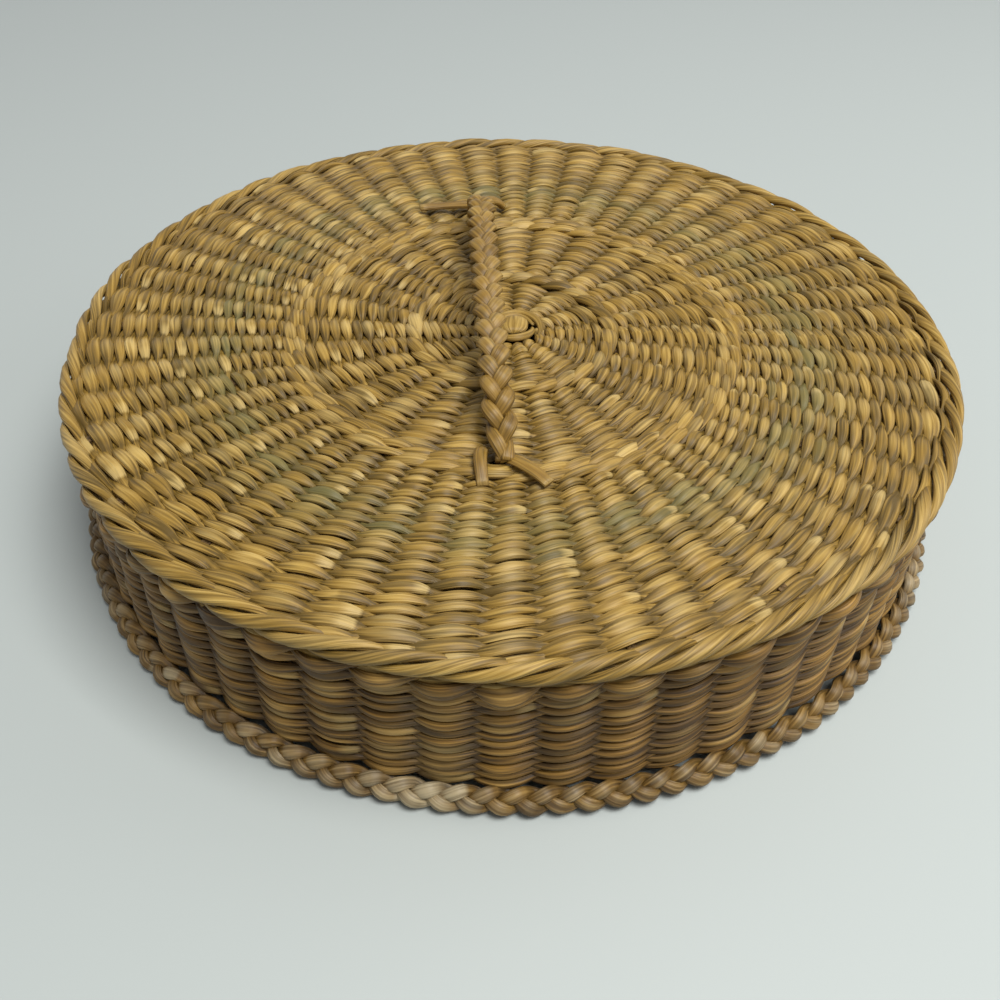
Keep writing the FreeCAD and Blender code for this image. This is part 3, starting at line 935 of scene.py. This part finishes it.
def settle(piece: bpy.types.Object, body: Body, slot: str, material: bpy.types.Material, *nodes: str) -> None:
    """Finishes a piece.

    Args:
        piece: the new object.
        body: the body it rides on.
        slot: the record's material slot; not used.
        material: its material.
        nodes: the frame's nodes that it stands for.
    """
    piece.data.materials.clear()
    piece.data.materials.append(material)
    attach(piece, body.value)
    if nodes:
        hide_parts(*nodes)
    log.info("%s: %d faces on %s", piece.name, len(piece.data.polygons), body.value)


def even_rows(
    start: float, end: float, count: int, columns: int, growth: float = 0.0, **extra: float
) -> list[Row]:
    """Rows of plain pairs between two distances.

    Args:
        start: the first row's distance in millimetres.
        end: the last row's.
        count: how many rows.
        columns: stakes in each.
        growth: how much wider the last gap is than the first, in millimetres.
        extra: further fields of Row.

    Returns:
        The rows, from the middle outwards, each as wide as the gap before it.
    """
    steps = np.linspace(-growth / 2, growth / 2, count - 1) + (end - start) / (count - 1)
    places = start + np.concatenate([[0], np.cumsum(steps)])
    pitches = np.concatenate([steps[:1], steps])
    return [
        Row(float(place) * MM, float(pitch) * MM, columns, dye=green_share(float(place)), **extra)
        for place, pitch in zip(places, pitches)
    ]


def green_share(distance: float) -> float:
    """How strongly a row is dyed: a faded band about 93 mm from the middle, dying out on both sides.

    It is the sum of a narrow bell curve and a wide one.

    Args:
        distance: millimetres from the middle.

    Returns:
        0 for plain rush to 1 for fresh green.
    """
    near = math.exp(-((distance - 93) / 6) ** 2)
    wide = math.exp(-((distance - 94) / 15) ** 2)
    return 0.42 * near + 0.34 * wide


@dataclass
class Lid:
    """The lid: disc, doubling rings, corner rope, skirt and plaited border."""

    finishes: Finishes
    rng: np.random.Generator
    centre_columns: int = 14
    stake_level: float = 55.0 * MM
    skirt_middle: float = 134.75 * MM
    corner: float = 4.0 * MM
    rope_radius: float = 137.2 * MM
    rope_level: float = 54.8 * MM
    corner_row_level: float = 47.9 * MM
    upper_row_level: float = 42.8 * MM
    fine_rows: int = 10
    fine_row_top: float = 38.6 * MM
    fine_row_foot: float = 8.0 * MM
    border_radius: float = 139.9 * MM
    border_level: float = 4.5 * MM
    border_turns: int = 38
    marks: tuple[Mark, ...] = (
        Mark(-17.0 * MM, 71.4 * MM, 3.4 * MM, part=3.8 * MM),
        Mark(-3.4 * MM, -65.2 * MM, 3.0 * MM, part=3.2 * MM),
        Mark(-31.0 * MM, 0.5 * MM, 4.5 * MM, pale=0.9),
        Mark(-20.0 * MM, -138.0 * MM, 12.0 * MM, pale=0.4),
    )
    border_marks: tuple[Mark, ...] = (
        Mark(-22.0 * MM, -138.0 * MM, 10.0 * MM, pale=0.7),
        Mark(128.0 * MM, -60.0 * MM, 7.0 * MM, pale=0.4),
    )
    twiner: Twiner = field(init=False)

    def __post_init__(self) -> None:
        """Lays the shell of the stakes' middle surface."""
        shell = Shell(self.skirt_middle - self.corner, self.corner, self.stake_level, down=True)
        self.twiner = Twiner(shell, self.rng, self.marks)

    def build(self) -> None:
        """Builds every piece of the lid."""
        top, skirt = self.finishes.top.material(), self.finishes.skirt.material()
        self.button(top)
        self.field(top)
        self.corner_work(top, skirt)
        self.skirt(skirt)
        self.border(self.finishes.border.material())
        self.stakes(self.finishes.stake.material(own_map=False))

    def button(self, material: bpy.types.Material) -> None:
        """Closes the middle with a folded leaf end and three crescent coils laid round it.

        A coil runs along an arc whose radius grows a little, and its thickness swells as the sine of its way.

        Args:
            material: the rush of the top.
        """
        place, run = (0.7, 0.6, 57.9), (0.25, 4.5, 0.0)
        tuft = Tuft(place, run, 4.6 * MM, 1.6 * MM, 3.2, rise=0.7 * MM, tone=0.55, wear=0.4, samples=15)
        piece = tuft.strand().mesh("lid_button_tuft", 14)
        settle(piece, Body.LID, "lid_rush", material, "lid_centre_button")
        radius_mm = np.array([5.7, 7.8, 5.9])[:, None]
        start = np.radians([200, 150, 10])[:, None]
        end = np.radians([20, -30, -150])[:, None]
        t = np.linspace(0, 1, 21)[None]
        angle = start + (end - start) * t
        swell = 0.25 + 0.75 * np.sin(np.pi * t) ** 0.7 + 0 * angle
        line = ring_out(angle) * (radius_mm + 0.9 * t)[..., None]
        line = (line + np.array([0.8, 0.6, 57.0]) + UP * (0.9 * np.sin(np.pi * t))[..., None]) * MM
        even = np.ones_like(angle)
        over = np.broadcast_to(UP, line.shape)
        wide, thick = 1.35 * MM * swell, 1.1 * MM * swell
        coils = Strands(line, over, wide, thick, 0.52 * even, 0 * even, 0.35 * even, closed=False)
        settle(coils.mesh("lid_button_coils", 8), Body.LID, "lid_rush", material)

    def field(self, material: bpy.types.Material) -> None:
        """Twines the flat top: three zones of plain rows, with longer strands where the stakes double.

        The last three rows go over the corner under the rope, so they are wider and stand further out.

        Args:
            material: the rush of the top.
        """
        few, more, most = (self.centre_columns * k for k in (1, 2, 4))
        first_shape = {"front": 2.3 * MM, "thickness": 1.35 * MM, "fill": 0.5, "point": 0.4}
        second_shape = {"front": 2.2 * MM, "thickness": 1.25 * MM, "fill": 0.5, "point": 0.45}
        first = [Row(31.4 * MM, 4.7 * MM, more, Weave.WALE, **first_shape)]
        second = [Row(place * MM, 4.0 * MM, most, Weave.WALE, **second_shape) for place in (67.6, 71.1)]
        outer = even_rows(74.6, 139.2, 19, most, growth=1.0)
        turned = [
            replace(outer[16], fill=0.6, point=0.7),
            replace(outer[17], distance=134.4 * MM, front=2.6 * MM, fill=0.62, point=0.75),
            replace(outer[18], front=2.5 * MM),
        ]
        pieces = (
            ("lid_centre_rows", even_rows(9.3, 27.4, 7, few), ["lid_centre_weave"]),
            ("lid_first_ring_strands", first, ["lid_first_ring"]),
            ("lid_inner_rows", even_rows(35.9, 64.2, 9, more), ["lid_inner_weave"]),
            ("lid_second_ring_strands", second, ["lid_second_ring"]),
            ("lid_outer_rows_a", outer[:9], ["lid_outer_weave"]),
            ("lid_outer_rows_b", outer[9:16], []),
            ("lid_outer_rows_c", turned, []),
        )
        for name, rows, nodes in pieces:
            settle(self.twiner.work(name, rows), Body.LID, "lid_rush", material, *nodes)

    def corner_work(self, top: bpy.types.Material, skirt: bpy.types.Material) -> None:
        """Rounds the corner with the three-strand rope and lays the thicker row under it.

        Args:
            top: the rush of the rope, which the light reaches as it does the top.
            skirt: the rush of the row under it, darker with the skirt's painted shade.
        """
        most = self.centre_columns * 4
        rope = Rope(self.rope_radius, self.rope_level, most, down=True, spread=2.0 * MM)
        piece = rope.strands(self.rng).mesh("lid_corner_rope_strands")
        settle(piece, Body.LID, "lid_rush", top, "lid_corner_rope")
        shape = {"front": 4.1 * MM, "back": 1.4 * MM, "thickness": 1.45 * MM, "fill": 0.5, "point": 0.36}
        row = Row(self.twiner.shell.wall_distance(self.corner_row_level), 5.1 * MM, most, **shape)
        piece = self.twiner.work("lid_corner_row_strands", [row])
        settle(piece, Body.LID, "skirt_rush", skirt, "lid_corner_row")

    def skirt(self, material: bpy.types.Material) -> None:
        """Twines the skirt's fine rows, from under the corner down to the border."""
        place, most = self.twiner.shell.wall_distance, self.centre_columns * 4
        shape = {"front": 2.15 * MM, "back": 1.45 * MM, "thickness": 1.2 * MM, "fill": 0.45, "point": 0.6}
        heights = np.linspace(self.fine_row_top, self.fine_row_foot, self.fine_rows)
        rows = [Row(place(self.upper_row_level), 4.7 * MM, most, **shape)]
        rows += [Row(place(float(height)), 3.45 * MM, most, **shape) for height in heights]
        work = self.twiner.work
        settle(work("lid_skirt_rows_upper", rows[:6]), Body.LID, "skirt_rush", material, "lid_skirt_weave")
        settle(work("lid_skirt_rows_lower", rows[6:]), Body.LID, "skirt_rush", material)

    def border(self, material: bpy.types.Material) -> None:
        """Finishes the skirt with a plait that lies with its flat face outwards and upwards."""
        samples = self.border_turns * 22
        angle = np.arange(samples) * TURN / samples
        out = ring_out(angle)
        lateral, normal = out * 0.6 - UP * 0.8, out * 0.8 + UP * 0.6
        line = out * self.border_radius + UP * self.border_level
        plait = Plait(2.25 * MM, 1.4 * MM, 2.0 * MM, 1.25 * MM)
        turns = self.border_turns * angle / TURN
        strands = plait.strands(line, lateral, normal, turns, self.rng, True, self.border_marks)
        settle(strands.mesh("lid_border_strands", 10), Body.LID, "border_rush", material, "lid_border_plait")

    def stakes(self, material: bpy.types.Material) -> None:
        """Dresses the frame's own flat stakes as dull, dark rush that is seen through the gaps, as painted shade
        there.
        """
        for name in ("lid_first_stakes", "lid_second_stakes", "lid_third_stakes"):
            node = frame["nodes"][name]
            node.data.materials.clear()
            node.data.materials.append(material)


@dataclass
class Handle:
    """The plaited handle, an arch between its two holes in the lid, and the cut ends that lie beside them."""

    finishes: Finishes
    rng: np.random.Generator
    length: float = 142.35 * MM
    rise: float = 12.0 * MM
    bow: float = -1.4 * MM
    far_dip: float = 1.7 * MM
    start: float = -0.02
    end: float = 0.953
    turns: int = 6
    plait: Plait = Plait(3.05 * MM, 1.75 * MM, 2.5 * MM, 1.3 * MM, 0.45)
    ends: tuple[LooseEnd, ...] = (
        LooseEnd(
            "handle_near_left_leg", "handle_near_left_tail",
            ((-7.6, -63.0, 59.0), (-8.2, -68.0, 60.4), (-7.2, -75.5, 57.0)), 1.9 * MM, 1.2 * MM,
        ),
        LooseEnd(
            "handle_near_right_leg", "handle_near_right_tail",
            ((0.4, -66.8, 59.4), (5.0, -70.8, 60.2), (10.8, -76.0, 58.9)), 2.1 * MM, 0.9 * MM, 0.6,
        ),
        LooseEnd(
            "handle_far_long_end", "handle_far_long_tail",
            ((-13.0, 75.6, 60.8), (-23.5, 76.0, 60.2), (-34.4, 74.2, 59.8)), 1.9 * MM, 1.1 * MM,
        ),
        LooseEnd(
            "handle_far_short_end", "handle_far_short_tail",
            ((-11.0, 75.6, 62.2), (-7.2, 77.6, 61.6), (-4.2, 79.6, 58.6)), 2.2 * MM, 1.4 * MM,
        ),
    )

    def build(self) -> None:
        """Builds the three strands and the four loose ends."""
        material = self.finishes.handle.material()
        self.arch(material)
        for end in self.ends:
            settle(end.strand().mesh(end.name, 10), Body.LID, "handle_rush", material, end.node)

    def line(self, share: np.ndarray) -> tuple[np.ndarray, np.ndarray]:
        """Lays the plait's middle line between the two ends of the joint's axis.

        It runs straight from end to end, is lifted and bowed by 1 - (2s - 1)^4 at the share s of its length,
        and dips towards its far end.

        Args:
            share: the places along it, 0 at the near hole and 1 at the far one.

        Returns:
            The line's points and the direction that leads aside from it.
        """
        joint = next(j for j in frame["record"]["behaviour"]["joints"] if j["name"] == "handle_tilt")
        near, along = np.array(joint["pos_m"]), unit(np.array(joint["axis"], dtype=float))
        aside = np.cross(along, UP)
        arch = 1 - (2 * share - 1) ** 4
        line = near + along * (self.length * share)[:, None] + aside * (self.bow * arch)[:, None]
        dip = self.far_dip * smooth((share - 0.87) / 0.09)
        return line + UP * (self.rise * arch - dip)[:, None], aside

    def arch(self, material: bpy.types.Material) -> None:
        """Plaits the three strands, drawn together where they go down into the holes.

        Args:
            material: the handle's rush.
        """
        share = np.linspace(self.start, self.end, self.turns * 30)
        line, aside = self.line(share)
        lateral = np.broadcast_to(aside, line.shape)
        normal = unit(np.cross(lateral, unit(np.gradient(line, axis=0))))
        strands = self.plait.strands(line, lateral, normal, self.turns * share + 0.25, self.rng, False)
        open_up = 0.4 + 0.6 * smooth(np.minimum(share + 0.02, 0.975 - share) / 0.08)
        middle = line[None] + (strands.middle - line[None]) * open_up[None, :, None]
        drawn = replace(strands, middle=middle, wide=strands.wide * (0.6 + 0.4 * open_up))
        for number in range(3):
            piece = drawn.only(number).mesh(f"handle_plait_strand_{number + 1}", 10)
            settle(piece, Body.HANDLE, "handle_rush", material, f"handle_strand_{number + 1}")


@dataclass
class Base:
    """The shallow basket inside the lid: twined bottom, corner rope, wall and plaited rim."""

    finishes: Finishes
    rng: np.random.Generator
    centre_columns: int = 14
    level: float = 2.8 * MM
    wall_middle: float = 123.3 * MM
    corner: float = 4.0 * MM
    wall_rows: int = 10
    wall_row_foot: float = 9.0 * MM
    wall_row_top: float = 41.0 * MM
    stake_top: float = 44.0 * MM
    rope_radius: float = 124.2 * MM
    rope_level: float = 3.6 * MM
    rim_radius: float = 124.6 * MM
    rim_level: float = 47.3 * MM
    rim_turns: int = 34
    twiner: Twiner = field(init=False)

    def __post_init__(self) -> None:
        """Lays the shell of the stakes' middle surface."""
        shell = Shell(self.wall_middle - self.corner, self.corner, self.level, down=False)
        self.twiner = Twiner(shell, self.rng, samples=8, sides=6, uneven=0.8)

    def build(self) -> None:
        """Builds every piece of the basket."""
        material = self.finishes.inside.material()
        self.rows(material)
        self.rope(material)
        self.rim(material)
        self.button(material)
        self.stakes(self.finishes.stake.material())

    def rows(self, material: bpy.types.Material) -> None:
        """Twines the bottom's three zones and the wall."""
        few, more, most = (self.centre_columns * k for k in (1, 2, 4))
        flat = {"front": 1.3 * MM, "back": 1.05 * MM, "thickness": 0.85 * MM}
        upright = {"front": 1.6 * MM, "back": 1.4 * MM, "thickness": 1.0 * MM, "point": 0.56}
        place = self.twiner.shell.wall_distance
        heights = np.linspace(self.wall_row_foot, self.wall_row_top, self.wall_rows)
        wall = [Row(place(float(height)), 3.6 * MM, most, **upright) for height in heights]
        pieces = (
            ("base_centre_rows", even_rows(6.5, 29.6, 8, few, **flat), "base_centre_weave"),
            ("base_inner_rows", even_rows(33.0, 66.6, 11, more, **flat), "base_inner_weave"),
            ("base_outer_rows", even_rows(70.2, 117.0, 14, most, **flat), "base_outer_weave"),
            ("base_wall_rows", wall, "base_wall_weave"),
        )
        for name, rows, node in pieces:
            settle(self.twiner.work(name, rows), Body.BASE, "base_rush", material, node)

    def rope(self, material: bpy.types.Material) -> None:
        """Rounds the corner between bottom and wall with a three-strand rope."""
        most = self.centre_columns * 4
        rope = Rope(self.rope_radius, self.rope_level, most, down=False, spread=1.5 * MM, wide=1.6 * MM)
        piece = rope.strands(self.rng).mesh("base_corner_rope_strands", 6)
        settle(piece, Body.BASE, "base_rush", material, "base_corner_rope")

    def rim(self, material: bpy.types.Material) -> None:
        """Finishes the wall's top edge with a thick plait, its flat face upwards and outwards."""
        samples = self.rim_turns * 18
        angle = np.arange(samples) * TURN / samples
        out = ring_out(angle)
        line = out * self.rim_radius + UP * self.rim_level
        plait = Plait(3.0 * MM, 1.9 * MM, 2.6 * MM, 1.7 * MM)
        lateral, normal = out * 0.7 - UP * 0.714, out * 0.714 + UP * 0.7
        strands = plait.strands(line, lateral, normal, self.rim_turns * angle / TURN, self.rng, True)
        settle(strands.mesh("base_rim_strands", 8), Body.BASE, "base_rush", material, "base_rim_plait")

    def button(self, material: bpy.types.Material) -> None:
        """Closes the middle of the bottom with a folded end that shows on both faces."""
        tuft = Tuft((0.0, 0.0, 2.9), (4.6, 0.0, 0.0), 4.4 * MM, 2.3 * MM, 3.0)
        piece = tuft.strand().mesh("base_button_tuft", 12)
        settle(piece, Body.BASE, "base_rush", material, "base_centre_button")

    def stakes(self, material: bpy.types.Material) -> None:
        """Lays flat stakes out over the bottom and up the wall, more of them from each ring outwards.

        Args:
            material: the stakes' rush.
        """
        few, step = self.centre_columns, TURN / (self.centre_columns * 4)
        groups = (
            (10.0 * MM, np.arange(few) * 4),
            (31.0 * MM, np.arange(few) * 4 + 2),
            (69.0 * MM, np.arange(few * 2) * 2 + 1),
        )
        begin = np.concatenate([np.full(len(columns), start) for start, columns in groups])[:, None]
        angle = np.concatenate([columns * step for _, columns in groups])[:, None]
        end = self.twiner.shell.wall_distance(self.stake_top)
        distance = begin + (end - begin) * np.linspace(0, 1, 60)[None, :]
        points, normals, _ = self.twiner.shell.at(distance, angle + 0 * distance)
        even = np.ones_like(distance)
        wide, thick, tone, plain = 1.3 * MM * even, 0.55 * MM * even, 0.5 * even, 0 * even
        stakes = Strands(points, normals, wide, thick, tone, plain, plain, closed=False)
        settle(stakes.mesh("base_stakes", 6), Body.BASE, "base_rush", material)


@dataclass
class Studio:
    """A pale floor, soft light from above and a camera at the photograph's place."""

    camera_place: Vector = Vector((-2.5 * MM, -297.7 * MM, 257.7 * MM))
    look_down: float = math.radians(42.8)
    roll: float = math.radians(1.27)
    focal_px: float = 1100.0
    frame_px: float = 1000.0
    floor_half: float = 3.0
    room_fill: float = 0.33
    room_seen: float = 0.85

    def build(self) -> None:
        """Adds the floor, the lamps, the world and the camera."""
        self.floor()
        self.world()
        self.lamp("ceiling_softbox", place=(0.35, -0.35, 1.25), aim=(0, 0, 0), size=0.7, watts=20.5)
        self.lamp("window_softbox", place=(1.1, 0.25, 0.6), aim=(0, 0, 0.03), size=0.8, watts=3.5)
        self.camera()

    def floor(self) -> None:
        """Lays a plain pale plane."""
        half = self.floor_half
        data = bpy.data.meshes.new("floor")
        corners = [(-half, -half, 0), (half, -half, 0), (half, half, 0), (-half, half, 0)]
        data.from_pydata(corners, [], [(0, 1, 2, 3)])
        plane = bpy.data.objects.new("floor", data)
        bpy.context.scene.collection.objects.link(plane)
        # Honed stone: pale and even, with only a broad dull shine.
        made = bpy.data.materials.new("honed_pale_stone")
        made.use_nodes = True
        shader = made.node_tree.nodes["Principled BSDF"]
        shader.inputs["Base Color"].default_value = linear("b1b7b3")
        shader.inputs["Roughness"].default_value = 0.5
        data.materials.append(made)

    def world(self) -> None:
        """Lights the shadows with an even sky that looks paler to the camera and in shine than it lights."""
        world = bpy.data.worlds.new("soft_room")
        bpy.context.scene.world = world
        world.use_nodes = True
        tree = world.node_tree
        sky = tree.nodes["Background"]
        sky.inputs["Color"].default_value = linear("eef1f5")
        seen = tree.nodes.new("ShaderNodeMapRange")
        seen.inputs["To Min"].default_value = self.room_fill
        seen.inputs["To Max"].default_value = self.room_seen
        path = tree.nodes.new("ShaderNodeLightPath")
        total = path.outputs["Is Camera Ray"]
        for ray in ("Is Glossy Ray", "Is Transmission Ray"):
            both = tree.nodes.new("ShaderNodeMath")
            both.operation = "ADD"
            tree.links.new(total, both.inputs[0])
            tree.links.new(path.outputs[ray], both.inputs[1])
            total = both.outputs[0]
        tree.links.new(total, seen.inputs["Value"])
        tree.links.new(seen.outputs["Result"], sky.inputs["Strength"])

    def lamp(self, name: str, place: Point, aim: Point, size: float, watts: float) -> None:
        """Hangs a square soft lamp.

        Args:
            name: the lamp's name.
            place: where it hangs, in metres.
            aim: the point it faces.
            size: the length of its side.
            watts: its power.
        """
        light = bpy.data.lights.new(name, "AREA")
        light.size = size
        light.energy = watts
        holder = bpy.data.objects.new(name, light)
        holder.location = place
        holder.rotation_euler = (Vector(aim) - Vector(place)).to_track_quat("-Z", "Y").to_euler()
        bpy.context.scene.collection.objects.link(holder)

    def camera(self) -> None:
        """Places the camera, fitted to the lid's outline in the photograph."""
        data = bpy.data.cameras.new("camera")
        data.sensor_width = 36.0
        data.lens = self.focal_px / self.frame_px * data.sensor_width
        holder = bpy.data.objects.new("camera", data)
        back = Vector((0, -math.cos(self.look_down), math.sin(self.look_down)))
        right = Vector((1, 0, 0))
        up = back.cross(right)
        rolled_right = right * math.cos(self.roll) + up * math.sin(self.roll)
        rolled_up = up * math.cos(self.roll) - right * math.sin(self.roll)
        turn = Matrix((rolled_right, rolled_up, back)).transposed().to_4x4()
        holder.matrix_world = Matrix.Translation(self.camera_place) @ turn
        bpy.context.scene.collection.objects.link(holder)
        bpy.context.scene.camera = holder


def main() -> None:
    """Builds the studio and the warmer."""
    logging.basicConfig(level=logging.INFO, format="%(message)s")
    bpy.context.scene.view_settings.view_transform = "Standard"
    Studio().build()
    finishes = Finishes()
    Lid(finishes, np.random.default_rng(7)).build()
    Handle(finishes, np.random.default_rng(11)).build()
    Base(finishes, np.random.default_rng(13)).build()
    bpy.context.view_layer.update()


if __name__ == "__main__":
    main()
